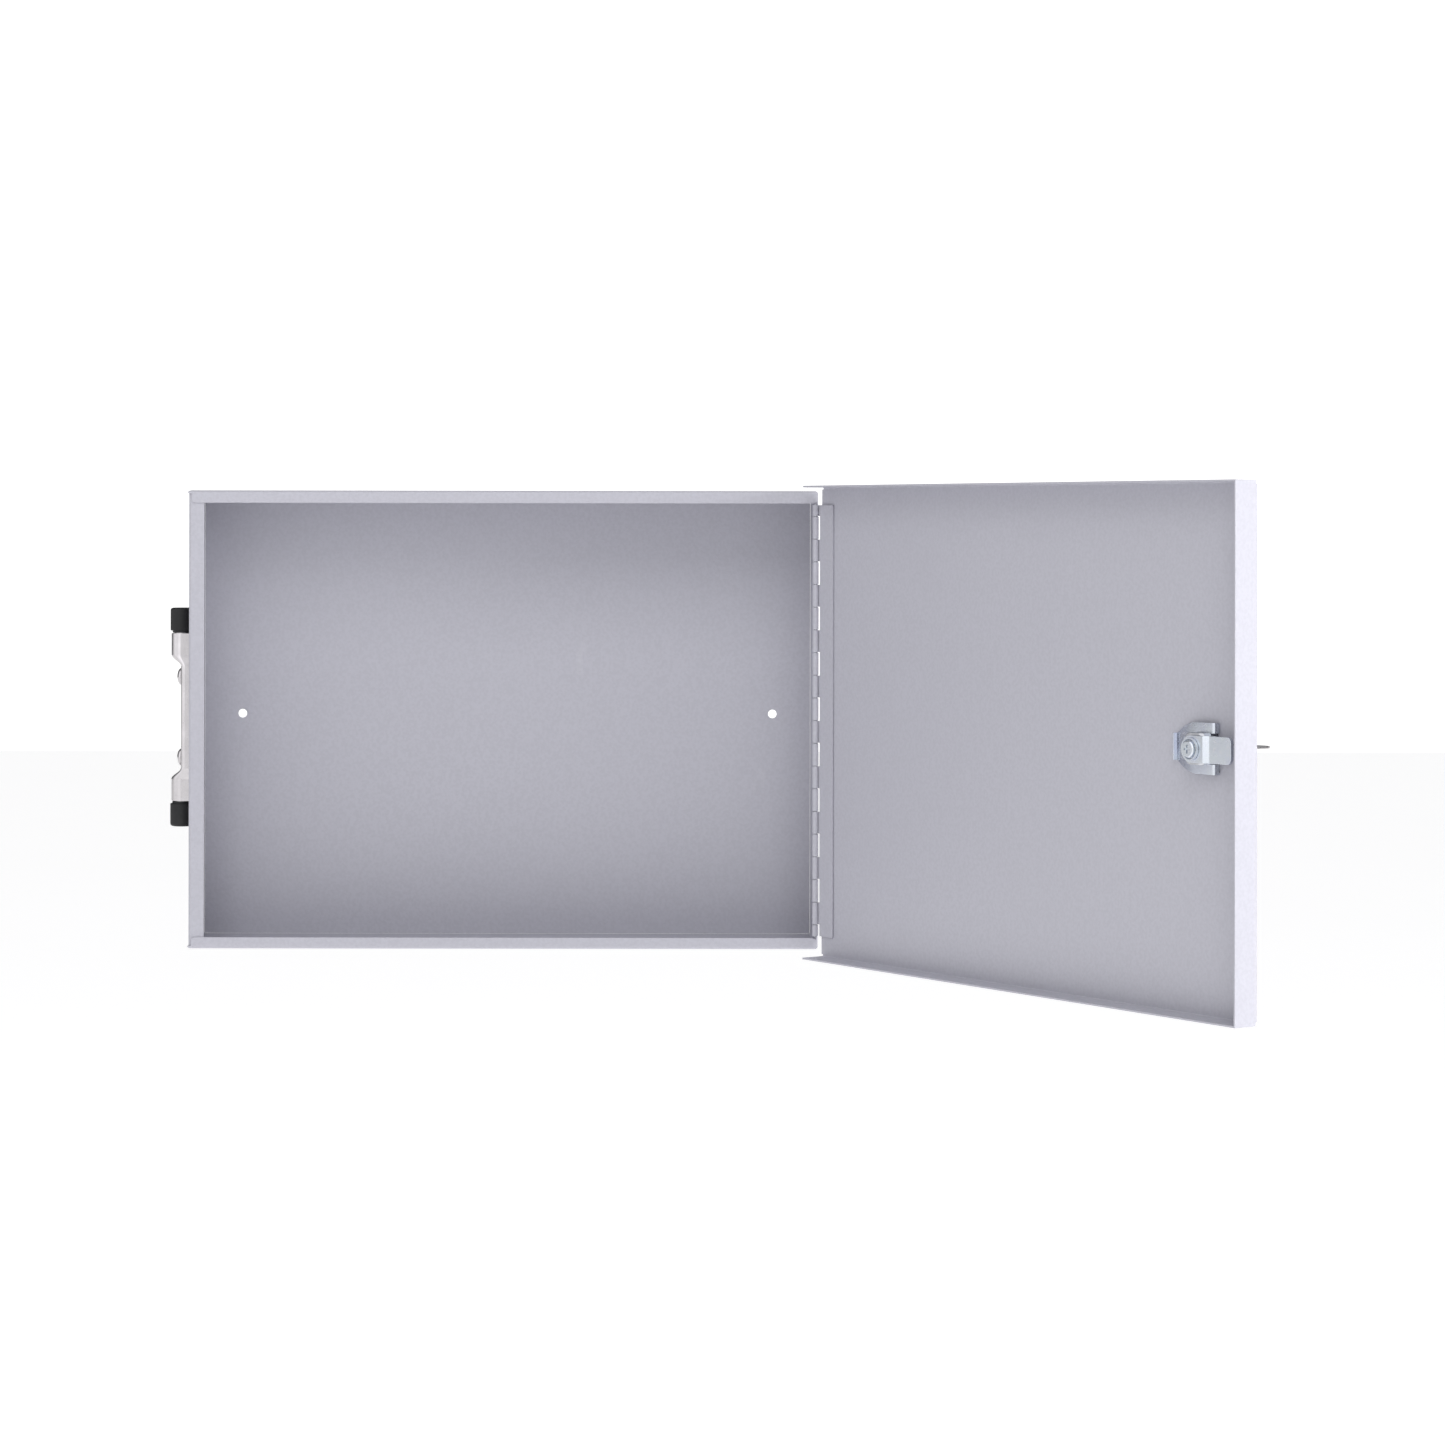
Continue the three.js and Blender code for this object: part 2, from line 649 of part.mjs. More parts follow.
function makeCamScrew() {
  const top = screwSeat + screwHeadHeight;
  const edge = 0.6;
  const body = turnedY([
    [0, screwSeat - screwLength], [screwRadius, screwSeat - screwLength], [screwRadius, screwSeat],
    [screwHeadRadius, screwSeat], [screwHeadRadius, top - edge], [screwHeadRadius - edge, top], [0, top]], 30);
  const arm = 2.2;
  const slot = 0.5;
  const cross = [[arm, slot], [slot, arm]].map(([x, z]) => box([-x, top - 1, -z], [x, top + 1, z]));
  return body.subtract(joined(cross));
}

// A bowed horseshoe of spring steel that straddles the barrel: its closed end turns up, its legs' ends down.
function makeClip() {
  const crest = clipHeel + clipToe - clipHookRadius;
  const steps = Array.from({ length: 10 }, (_, i) => (i + 1) / 10);
  const bow = (rise) => steps.map((share) => [
    clipHeel - share * crest, clipSeat + rise + clipCrown * Math.sin(share * Math.PI / 2)]);
  const hook = (radius) => [0.25, 0.5, 0.75, 1].map((share) => [
    clipHookRadius - clipToe - radius * Math.sin(share * Math.PI / 2),
    clipSeat + clipCrown + clipThickness - clipHookRadius + radius * Math.cos(share * Math.PI / 2)]);
  const under = [
    [clipHeel, clipSeat], ...bow(0), ...hook(clipHookRadius - clipThickness),
    [clipThickness - clipToe, clipSeat]];
  const over = [...bow(clipThickness), ...hook(clipHookRadius), [-clipToe, clipSeat]].reverse();
  const tab = [
    [clipHeel - clipThickness, clipSeat + clipThickness], [clipHeel - clipThickness, clipSeat + clipTabHeight],
    [clipHeel, clipSeat + clipTabHeight]];
  const half = clipWidth / 2;
  const strip = alongZ(polygon([...under, ...over, ...tab]), -half, half);
  const slotHalf = clipSlot / 2;
  const slotRound = barrelRadius + clipSlotHead;
  const slotTurn = Math.asin(slotHalf / slotRound);
  const shoulder = clipHeel - 2 * clipThickness;
  const plan = new THREE.Shape();
  plan.moveTo(clipHeel + 1, -clipTabWidth / 2);
  plan.lineTo(clipHeel + 1, clipTabWidth / 2);
  plan.lineTo(shoulder, clipTabWidth / 2);
  plan.quadraticCurveTo(slotRound + 3, half, slotRound - 5, half);
  plan.lineTo(-clipToe - 1, half);
  plan.lineTo(-clipToe - 1, slotHalf);
  plan.absarc(0, 0, slotRound, slotTurn, -slotTurn, true);
  plan.lineTo(-clipToe - 1, -slotHalf);
  plan.lineTo(-clipToe - 1, -half);
  plan.lineTo(slotRound - 5, -half);
  plan.quadraticCurveTo(slotRound + 3, -half, shoulder, -clipTabWidth / 2);
  return strip.intersect(alongY(plan, clipSeat - 1, clipSeat + 2 * clipTabHeight, 8));
}

// ---------------------------------------------------------------- carrying handle

// Half section of the bracket at a height: an arch over the wall, its outer or inner line.
function bracketArch(halfWidthHere, top, radius, inset, z) {
  const half = halfWidthHere - inset;
  const crown = top + inset;
  const round = radius - inset;
  const foot = wallX - seatGap;
  const points = [new THREE.Vector3(foot, -half, z)];
  for (const side of [-1, 1]) {
    for (let i = 0; i <= 6; i += 1) {
      const angle = (side < 0 ? i : 6 - i) * Math.PI / 12;
      points.push(new THREE.Vector3(
        crown + round - round * Math.sin(angle), side * (half - round + round * Math.cos(angle)), z));
    }
  }
  points.push(new THREE.Vector3(foot, half, z));
  return points;
}

// A pressed steel saddle: a barrel at each end around the pivots, and a low web between for the rivets.
function makeBracket() {
  const barrelStart = bracketHalf - barrelLength;
  const webEnd = barrelStart - shoulderLength;
  const stations = [[-bracketHalf, 0], [-barrelStart, 0]];
  for (let i = 1; i < 4; i += 1) stations.push([-barrelStart + shoulderLength * i / 4, smooth(i / 4)]);
  stations.push([-webEnd, 1], [webEnd, 1]);
  for (let i = 3; i > 0; i -= 1) stations.push([barrelStart - shoulderLength * i / 4, smooth(i / 4)]);
  stations.push([barrelStart, 0], [bracketHalf, 0]);
  const rings = stations.map(([z, share]) => {
    const half = THREE.MathUtils.lerp(barrelOuter, bracketMidHalfWidth, share);
    const top = THREE.MathUtils.lerp(-barrelOuter, midTop, share);
    const radius = THREE.MathUtils.lerp(barrelOuter - 0.05, bracketMidRadius, share);
    const outer = bracketArch(half, top, radius, 0, z);
    const inner = bracketArch(half, top, radius, bracketSheet, z).reverse();
    return [...outer, ...inner];
  });
  const bore = rivetShankRadius + rivetFit;
  const holes = rivetPlaces().map((z) => rodX(bore, midTop - 1, midTop + bracketSheet + 1, z));
  return lofted(rings).subtract(joined(holes));
}

function smooth(share) {
  return share * share * (3 - 2 * share);
}

function rivetPlaces() {
  return [rivetSpacing / 2, -rivetSpacing / 2];
}

function rodX(radius, from, to, z) {
  return turnedX(rod(radius, from, to), 24).translate([0, 0, z]);
}

// Domed head on the web, a shoulder that spaces the web off the wall, and a tail set inside the cabinet.
function makeRivet(z) {
  const headSeatX = midTop - seatGap / 2;
  const dome = [[0, headSeatX - rivetHeadHeight]];
  for (let i = 1; i <= 5; i += 1) {
    const angle = i * Math.PI / 10;
    dome.push([rivetHeadRadius * Math.sin(angle), headSeatX - rivetHeadHeight * Math.cos(angle)]);
  }
  const underWeb = midTop + bracketSheet + seatGap / 2;
  const atWall = wallX - seatGap / 2;
  const inside = wallX + sheet + seatGap / 2;
  return turnedX([
    ...dome, [rivetShankRadius, headSeatX], [rivetShankRadius, underWeb], [rivetShoulderRadius, underWeb],
    [rivetShoulderRadius, atWall], [rivetShankRadius, atWall], [rivetShankRadius, inside],
    [rivetTailRadius, inside], [rivetTailRadius - 0.8, inside + rivetTailHeight], [0, inside + rivetTailHeight],
  ], 24).translate([0, 0, z]);
}

const bossStart = bracketHalf + bossGap;
const bossEnd = bossStart + bossLength;
const gripEndHeight = bossStart + neckLength + (bossLength - neckLength) / 2;

// Loop of the grip with a boss at each end, bored for the pivots.
function makeGrip() {
  const section = roundedRectangle(
    -gripThickness / 2, -gripDepth / 2, gripThickness / 2, gripDepth / 2, Array(4).fill(gripSectionRadius));
  const outline = section.getPoints(4);
  const corner = gripBend;
  const stations = [{ y: 0, z: -gripEndHeight, angle: 0 }];
  for (let i = 0; i <= 8; i += 1) {
    const angle = i * Math.PI / 16;
    stations.push({
      y: gripReach - corner + corner * Math.sin(angle),
      z: -gripEndHeight + corner - corner * Math.cos(angle),
      angle,
    });
  }
  const mirrored = stations.slice().reverse().map(({ y, z, angle }) => ({ y, z: -z, angle: Math.PI - angle }));
  const rings = [...stations, ...mirrored].map(({ y, z, angle }) => outline.map((point) => new THREE.Vector3(
    point.x, y + point.y * Math.sin(angle), z - point.y * Math.cos(angle))));
  const bosses = [-1, 1].map((side) => {
    const edge = bossEdgeRadius;
    const profile = [
      [0, bossStart], [neckRadius, bossStart], [neckRadius, bossStart + neckLength],
      [bossRadius - 0.5, bossStart + neckLength], [bossRadius, bossStart + neckLength + 0.5],
      [bossRadius, bossEnd - edge], [bossRadius - edge * 0.3, bossEnd - edge * 0.3],
      [bossRadius - edge, bossEnd], [0, bossEnd]];
    return turnedZ(profile.map(([radius, place]) => [radius, side * place]), 32);
  });
  const bores = [-1, 1].map((side) => {
    const ends = [side * (bossStart - 1), side * (bossStart + pivotInGrip + seatGap)];
    return turnedZ(rod(pivotRadius + seatGap / 2, Math.min(...ends), Math.max(...ends)), 28);
  });
  return lofted(rings).add(joined(bosses)).subtract(joined(bores));
}

function makePivot(side) {
  const ends = [side * (bracketHalf - pivotInBarrel), side * (bossStart + pivotInGrip)];
  return turnedZ(rod(pivotRadius, Math.min(...ends), Math.max(...ends)), 28);
}

// ---------------------------------------------------------------- assembly

const cabinet = new THREE.Group();
const rivetBore = rivetShankRadius + rivetFit;
const rivetBores = joined(rivetPlaces().map((z) => rodX(rivetBore, wallX - 1, wallX + sheet + 1, z)));
const handlePlace = [-halfWidth - wallX, frontY + handleFromFront, 0];
cabinet.add(meshOf('wall_ring', makeWallRing().subtract(rivetBores.translate(handlePlace)), paint));
cabinet.add(meshOf('back_panel', makeBackPanel(), paint));

const bodyHinge = new THREE.Group();
bodyHinge.position.set(hingeX, hingeY, 0);
bodyHinge.rotation.z = -Math.PI / 2;
bodyHinge.add(meshOf('hinge_body_leaf', makeLeaf(1, hingeInset - sheet - seatGap - leafThickness), paint));
bodyHinge.add(meshOf('hinge_pin', makeHingePin(), springSteel));
cabinet.add(bodyHinge);

const door = new THREE.Group();
door.position.set(hingeX, hingeY, 0);
door.rotation.z = doorAngle;
door.add(meshOf('door_panel', makeDoorPan(), paint));
door.add(meshOf('hinge_door_leaf', makeLeaf(0, leafFace), paint));
cabinet.add(door);

const lock = new THREE.Group();
lock.position.x = lockX;
lock.add(meshOf('lock_housing', makeLockHousing(), chrome));
lock.add(meshOf('lock_clip', makeClip(), zinc));
lock.add(meshOf('lock_plug', makePlug(), brass));
waferPlaces().forEach((place, i) => {
  lock.add(meshOf(`lock_wafer_${i + 1}`, makeWafer(place), brass));
  lock.add(meshOf(`wafer_spring_${i + 1}`, makeWaferSpring(place), springSteel));
});
lock.add(meshOf('lock_cam', makeCam(), zinc));
lock.add(meshOf('cam_washer', makeWasher(), zinc));
lock.add(meshOf('cam_screw', makeCamScrew(), zinc));
lock.add(meshOf('key', makeKey(), nickel));
door.add(lock);

const handle = new THREE.Group();
handle.position.set(...handlePlace);
handle.add(meshOf('handle_bracket', makeBracket(), nickel));
handle.add(meshOf('handle_grip', makeGrip(), blackPlastic));
[['upper', 1], ['lower', -1]].forEach(([place, side]) => {
  handle.add(meshOf(`handle_pivot_${place}`, makePivot(side), nickel));
  handle.add(meshOf(`handle_rivet_${place}`, makeRivet(side * rivetSpacing / 2), nickel));
});
cabinet.add(handle);

export default cabinet;
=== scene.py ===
# Key cabinet, door open: detailed pieces, finishes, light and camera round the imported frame.
import json
import math

import bmesh
import bpy
from mathutils import Matrix, Vector


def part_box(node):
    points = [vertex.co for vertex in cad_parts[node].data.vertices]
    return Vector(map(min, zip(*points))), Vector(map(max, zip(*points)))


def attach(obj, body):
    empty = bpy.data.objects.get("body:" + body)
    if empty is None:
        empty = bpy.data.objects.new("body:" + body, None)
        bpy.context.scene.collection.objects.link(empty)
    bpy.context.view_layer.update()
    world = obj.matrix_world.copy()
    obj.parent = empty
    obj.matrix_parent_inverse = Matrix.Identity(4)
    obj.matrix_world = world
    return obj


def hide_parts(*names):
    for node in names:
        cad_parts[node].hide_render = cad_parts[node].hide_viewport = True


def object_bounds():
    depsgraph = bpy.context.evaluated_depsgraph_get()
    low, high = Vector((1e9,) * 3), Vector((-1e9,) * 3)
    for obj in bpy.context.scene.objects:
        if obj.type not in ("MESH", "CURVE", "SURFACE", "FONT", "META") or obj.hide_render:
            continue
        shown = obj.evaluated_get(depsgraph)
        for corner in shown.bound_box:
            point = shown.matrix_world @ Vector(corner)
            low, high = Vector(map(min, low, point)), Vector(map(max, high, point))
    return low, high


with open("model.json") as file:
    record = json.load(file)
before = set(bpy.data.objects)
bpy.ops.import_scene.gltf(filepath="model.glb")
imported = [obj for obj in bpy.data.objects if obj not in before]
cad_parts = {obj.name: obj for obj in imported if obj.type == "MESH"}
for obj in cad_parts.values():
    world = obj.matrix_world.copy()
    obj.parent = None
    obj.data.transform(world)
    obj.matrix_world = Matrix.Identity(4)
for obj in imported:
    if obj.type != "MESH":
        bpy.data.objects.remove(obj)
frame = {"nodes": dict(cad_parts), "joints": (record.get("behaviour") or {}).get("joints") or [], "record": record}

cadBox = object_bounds()
mm = 0.001
nodes = frame["nodes"]
joints = {joint["name"]: joint for joint in frame["joints"]}
bodies = frame["record"]["behaviour"]["bodies"]
bodyOf = {node: body for body, members in bodies.items() for node in members}
slotOf = {name: node.data.materials[0].name.split(".")[0] for name, node in nodes.items()}
print("frame loaded:", len(nodes), "parts")


# Places that the pieces share.
doorNormal = Vector(joints["lock_turn"]["axis"]).normalized()  # towards the inside of the door
hingePoint = Vector(joints["door_hinge"]["pos_m"])
doorTurn = math.atan2(-doorNormal.x, doorNormal.y)
hingePlace = Matrix.Translation((hingePoint.x, hingePoint.y, 0))
doorPlace = hingePlace @ Matrix.Rotation(doorTurn, 4, "Z")
bodyHingePlace = hingePlace @ Matrix.Rotation(-math.pi / 2, 4, "Z")
handlePoint = Vector(joints["handle_swing"]["pos_m"])
handlePlace = Matrix.Translation(handlePoint)


# Camera.
cameraLook = {
    "place": (0.0755, -2.19, 0.10674),
    "yaw": 0.00116,  # radians, to the right
    "pitch": 0.0019,
    "roll": 0.00149,
    "lens": 94.05,
    "sensor": 36.0,
    "shift": (0.0554, -0.1384),
    "nearest": 0.05,
    "farthest": 60.0,
}


def addCamera():
    data = bpy.data.cameras.new("camera")
    data.lens = cameraLook["lens"]
    data.sensor_width = cameraLook["sensor"]
    data.shift_x, data.shift_y = cameraLook["shift"]
    data.clip_start = cameraLook["nearest"]
    data.clip_end = cameraLook["farthest"]
    camera = bpy.data.objects.new("camera", data)
    bpy.context.scene.collection.objects.link(camera)
    turn = Matrix.Rotation(-cameraLook["yaw"], 4, "Z")
    turn = turn @ Matrix.Rotation(math.pi / 2 + cameraLook["pitch"], 4, "X")
    turn = turn @ Matrix.Rotation(cameraLook["roll"], 4, "Z")
    camera.matrix_world = Matrix.Translation(cameraLook["place"]) @ turn
    bpy.context.scene.camera = camera


addCamera()
print("camera placed")


# Finishes.
shaderSockets = {
    "colour": "Base Color",
    "metallic": "Metallic",
    "roughness": "Roughness",
    "specular": "Specular IOR Level",
    "coat": "Coat Weight",
    "coatRoughness": "Coat Roughness",
}


class Finish:
    # A material with short calls for the nodes that the finishes below share.
    def __init__(self, name, turn=(0, 0, 0)):
        self.material = bpy.data.materials.new(name)
        self.material.use_nodes = True
        self.tree = self.material.node_tree
        self.shader = self.tree.nodes["Principled BSDF"]
        place = self.add("ShaderNodeTexCoord")
        self.mapping = self.add("ShaderNodeMapping")
        self.mapping.inputs["Rotation"].default_value = turn
        self.join(place.outputs["Object"], self.mapping.inputs["Vector"])
        self.place = self.mapping.outputs["Vector"]

    def add(self, kind, **settings):
        node = self.tree.nodes.new(kind)
        for key, value in settings.items():
            setattr(node, key, value)
        return node

    def join(self, source, target):
        self.tree.links.new(source, target)

    def stretched(self, stretch):
        node = self.add("ShaderNodeMapping")
        node.inputs["Scale"].default_value = stretch
        self.join(self.place, node.inputs["Vector"])
        return node.outputs["Vector"]

    def noise(self, scale, detail=2.0, rough=0.5, stretch=None):
        node = self.add("ShaderNodeTexNoise")
        node.inputs["Scale"].default_value = scale
        node.inputs["Detail"].default_value = detail
        node.inputs["Roughness"].default_value = rough
        self.join(self.stretched(stretch) if stretch else self.place, node.inputs["Vector"])
        return node.outputs["Fac"]

    def cells(self, scale):
        node = self.add("ShaderNodeTexVoronoi", feature="SMOOTH_F1")
        node.inputs["Scale"].default_value = scale
        self.join(self.place, node.inputs["Vector"])
        return node.outputs["Distance"]

    def spread(self, value, low, high, toLow=0.0, toHigh=1.0):
        node = self.add("ShaderNodeMapRange", clamp=True)
        ends = {"From Min": low, "From Max": high, "To Min": toLow, "To Max": toHigh}
        for key, number in ends.items():
            node.inputs[key].default_value = number
        self.join(value, node.inputs["Value"])
        return node.outputs["Result"]

    def sums(self, operation, first, second):
        node = self.add("ShaderNodeMath", operation=operation)
        for socket, value in zip(node.inputs, (first, second)):
            if isinstance(value, (int, float)):
                socket.default_value = value
            else:
                self.join(value, socket)
        return node.outputs["Value"]

    def blend(self, share, first, second):
        node = self.add("ShaderNodeMix", data_type="RGBA")
        self.join(share, node.inputs["Factor"])
        for socket, value in ((node.inputs[6], first), (node.inputs[7], second)):
            if isinstance(value, tuple):
                socket.default_value = (*value, 1)
            else:
                self.join(value, socket)
        return node.outputs[2]

    def bumps(self, layers):
        normal = None
        for height, strength, depth in layers:
            node = self.add("ShaderNodeBump")
            node.inputs["Strength"].default_value = strength
            node.inputs["Distance"].default_value = depth
            self.join(height, node.inputs["Height"])
            if normal is not None:
                self.join(normal, node.inputs["Normal"])
            normal = node.outputs["Normal"]
        self.join(normal, self.shader.inputs["Normal"])

    def set(self, **values):
        for key, value in values.items():
            socket = self.shader.inputs[shaderSockets[key]]
            if isinstance(value, tuple):
                socket.default_value = (*value, 1)
            elif isinstance(value, (int, float)):
                socket.default_value = value
            else:
                self.join(value, socket)


enamelLook = {
    "colour": (0.50, 0.497, 0.556),
    "deep": (0.468, 0.465, 0.521),  # in the hollows of the speckle
    "scuff": (0.60, 0.60, 0.635),
    "peel": 620.0,  # scale of the orange peel
    "pits": 496.0,
    "peelDepth": 0.00022,
    "peelBump": 0.3,
    "pitBump": 0.2,
    "grain": 2600.0,
    "grainDepth": 0.00005,
    "grainBump": 0.05,
    "drift": 9.0,  # slow change of tone and gloss
    "scuffs": 38.0,
    "scuffStretch": (1.0, 1.0, 0.22),
    "scuffShare": 0.5,
    "roughness": 0.42,
    "scuffRoughness": 0.12,  # added where it is scuffed
    "specular": 0.5,
    "coat": 0.18,
    "coatRoughness": 0.22,
}


def hammeredEnamel():
    look = enamelLook
    finish = Finish("hammeredEnamel")
    peel = finish.noise(look["peel"], detail=1.5, rough=0.45)
    pits = finish.cells(look["pits"])
    drift = finish.noise(look["drift"], detail=3.0)
    grain = finish.noise(look["grain"], detail=1.0)
    scuffs = finish.noise(look["scuffs"], detail=6.0, rough=0.72, stretch=look["scuffStretch"])
    scuffed = finish.spread(scuffs, 0.66, 0.8, 0.0, look["scuffShare"])
    depth = finish.sums("MULTIPLY", finish.spread(peel, 0.36, 0.62),
                        finish.spread(drift, 0.25, 0.75, 0.75, 1.0))
    colour = finish.blend(depth, look["deep"], look["colour"])
    colour = finish.blend(scuffed, colour, look["scuff"])
    rough = look["roughness"]
    dulled = finish.spread(scuffed, 0.0, look["scuffShare"], 0.0, look["scuffRoughness"])
    gloss = finish.sums("ADD", finish.spread(drift, 0.3, 0.7, rough - 0.04, rough + 0.06), dulled)
    finish.set(colour=colour, roughness=gloss, metallic=0.0, specular=look["specular"],
               coat=look["coat"], coatRoughness=look["coatRoughness"])
    finish.bumps([(peel, look["peelBump"], look["peelDepth"]),
                  (pits, look["pitBump"], look["peelDepth"]),
                  (grain, look["grainBump"], look["grainDepth"])])
    return finish.material


zincLook = {
    "blue": (0.62, 0.65, 0.73),
    "green": (0.64, 0.68, 0.72),
    "warm": (0.74, 0.73, 0.74),
    "tint": 95.0,  # scale of the patches of tint
    "spots": 420.0,
    "spotShare": 0.6,
    "brush": 1500.0,
    "brushStretch": (0.05, 1.0, 1.0),
    "brushBump": 0.04,
    "spotBump": 0.03,
    "bumpDepth": 0.00001,
    "roughness": 0.2,
    "spotRoughness": 0.10,
}


def passivatedZinc():
    look = zincLook
    finish = Finish("passivatedZinc", (0, 0, -doorTurn))
    brush = finish.noise(look["brush"], detail=3.0, stretch=look["brushStretch"])
    tint = finish.noise(look["tint"], detail=2.0, rough=0.4)
    spots = finish.noise(look["spots"], detail=4.0, rough=0.65)
    cool = finish.blend(finish.spread(tint, 0.42, 0.62), look["blue"], look["green"])
    spotted = finish.spread(spots, 0.55, 0.75, 0.0, look["spotShare"])
    colour = finish.blend(spotted, cool, look["warm"])
    rough = look["roughness"]
    gloss = finish.sums("ADD", finish.spread(brush, 0.3, 0.7, rough - 0.06, rough + 0.08),
                        finish.spread(spots, 0.5, 0.75, 0.0, look["spotRoughness"]))
    finish.set(colour=colour, roughness=gloss, metallic=1.0)
    finish.bumps([(brush, look["brushBump"], look["bumpDepth"]),
                  (spots, look["spotBump"], look["bumpDepth"])])
    return finish.material


lockTurn = (0, 0, -doorTurn)
platedLooks = {
    "chrome_plate": {
        "name": "polishedChrome",
        "colour": (0.62, 0.63, 0.66),
        "shade": (0.52, 0.53, 0.56),
        "roughness": 0.16,
        "brush": 1800.0,
        "stretch": (1.0, 1.0, 0.06),
        "turn": lockTurn,
    },
    "brass": {
        "name": "turnedBrass",
        "colour": (0.72, 0.54, 0.26),
        "shade": (0.58, 0.42, 0.19),
        "roughness": 0.24,
        "brush": 2400.0,
        "stretch": (1.0, 0.05, 1.0),
        "turn": lockTurn,
    },
    "spring_steel": {
        "name": "springSteel",
        "colour": (0.36, 0.37, 0.4),
        "shade": (0.27, 0.28, 0.3),
        "roughness": 0.28,
        "brush": 4000.0,
        "stretch": (1.0, 1.0, 0.06),
        "turn": lockTurn,
    },
    "nickel_plate": {
        "name": "nickelPlate",
        "colour": (0.64, 0.62, 0.63),
        "shade": (0.55, 0.53, 0.54),
        "roughness": 0.19,
        "brush": 1600.0,
        "stretch": (1.0, 1.0, 0.06),
        "turn": (0, 0, 0),
    },
}


def platedMetal(look):
    finish = Finish(look["name"], look["turn"])
    rough = look["roughness"]
    lines = finish.noise(look["brush"], detail=2.0, stretch=look["stretch"])
    haze = finish.noise(140.0, detail=5.0, rough=0.6)
    tone = finish.blend(finish.spread(haze, 0.3, 0.72), look["colour"], look["shade"])
    gloss = finish.sums("ADD", finish.spread(lines, 0.3, 0.7, rough * 0.8, rough * 1.25),
                        finish.spread(haze, 0.55, 0.75, 0.0, rough * 0.7))
    finish.set(colour=tone, roughness=gloss, metallic=1.0)
    finish.bumps([(lines, 0.08, 0.00001), (haze, 0.05, 0.00003)])
    return finish.material


plasticLook = {
    "colour": (0.008, 0.008, 0.009),
    "worn": (0.02, 0.02, 0.021),
    "roughness": 0.42,
    "specular": 0.35,
    "grain": 1500.0,
    "grainBump": 0.22,
    "grainDepth": 0.00008,
    "touch": 60.0,  # scale of the patches that hands have rubbed
    "touchBump": 0.1,
    "touchDepth": 0.0002,
}


def mouldedPlastic():
    look = plasticLook
    finish = Finish("mouldedPlastic")
    grain = finish.noise(look["grain"], detail=2.0, rough=0.6)
    touch = finish.noise(look["touch"], detail=5.0, rough=0.65)
    worn = finish.spread(touch, 0.5, 0.8)
    rough = look["roughness"]
    finish.set(colour=finish.blend(worn, look["colour"], look["worn"]),
               roughness=finish.spread(touch, 0.3, 0.75, rough + 0.1, rough - 0.06),
               specular=look["specular"])
    finish.bumps([(grain, look["grainBump"], look["grainDepth"]),
                  (touch, look["touchBump"], look["touchDepth"])])
    return finish.material


finishes = {"painted_sheet": hammeredEnamel(), "zinc_plate": passivatedZinc()}
for slot, look in platedLooks.items():
    finishes[slot] = platedMetal(look)
finishes["black_plastic"] = mouldedPlastic()
print("finishes made:", len(finishes))


# Mesh work.
def linked(name, mesh):
    piece = bpy.data.objects.new(name, mesh)
    bpy.context.scene.collection.objects.link(piece)
    return piece


def fromWork(name, work):
    # Makes an object of a bmesh whose faces are turned outwards.
    bmesh.ops.recalc_face_normals(work, faces=work.faces)
    mesh = bpy.data.meshes.new(name)
    work.to_mesh(mesh)
    work.free()
    return linked(name, mesh)


def settled(piece):
    # Replaces the piece's mesh by the result of its modifiers.
    bpy.context.view_layer.update()
    graph = bpy.context.evaluated_depsgraph_get()
    mesh = bpy.data.meshes.new_from_object(piece.evaluated_get(graph), depsgraph=graph)
    old = piece.data
    piece.modifiers.clear()
    piece.data = mesh
    mesh.name = piece.name
    bpy.data.meshes.remove(old)
    return piece


def combined(piece, other, operation):
    change = piece.modifiers.new("combine", "BOOLEAN")
    change.operation = operation
    change.solver = "EXACT"
    change.object = other
    settled(piece)
    bpy.data.objects.remove(other)
    return piece


edgeEasing = {
    "rounds": 2,
    "angle": 32,  # degrees from which an edge counts as sharp
    "wideAngle": 40,  # the same for pieces with coarser curves
    "flatWeight": 80,  # how firmly a wide face keeps its own normals beside a rounded edge
}


def eased(piece, width, rounds=edgeEasing["rounds"], angle=edgeEasing["angle"]):
    # Rounds the sharp edges, so that they catch the light, and shades the rest smoothly.
    ease = piece.modifiers.new("ease", "BEVEL")
    ease.width = width
    ease.segments = rounds
    ease.limit_method = "ANGLE"
    ease.angle_limit = math.radians(angle)
    ease.use_clamp_overlap = False
    ease.miter_outer = "MITER_ARC"
    settled(piece)
    piece.data.shade_smooth()
    piece.data.set_sharp_from_angle(angle=math.radians(angle))
    flats = piece.modifiers.new("flats", "WEIGHTED_NORMAL")
    flats.keep_sharp = True
    flats.weight = edgeEasing["flatWeight"]
    return settled(piece)


def placed(piece, place):
    piece.data.transform(place)
    return piece


def prism(name, outline, low, high):
    # A closed solid on an outline of (x, y) points, from one height to another.
    work = bmesh.new()
    rings = [[work.verts.new((x, y, z)) for x, y in outline] for z in (low, high)]
    for i in range(len(outline)):
        j = (i + 1) % len(outline)
        work.faces.new((rings[0][i], rings[0][j], rings[1][j], rings[1][i]))
    work.faces.new(rings[0])
    work.faces.new(rings[1])
    return fromWork(name, work)


def skinned(name, rings):
    # A closed skin through rings of equal point count.
    work = bmesh.new()
    made = [[work.verts.new(point) for point in ring] for ring in rings]
    count = len(rings[0])
    for low, high in zip(made, made[1:]):
        for i in range(count):
            j = (i + 1) % count
            work.faces.new((low[i], low[j], high[j], high[i]))
    work.faces.new(made[0])
    work.faces.new(made[-1])
    return fromWork(name, work)


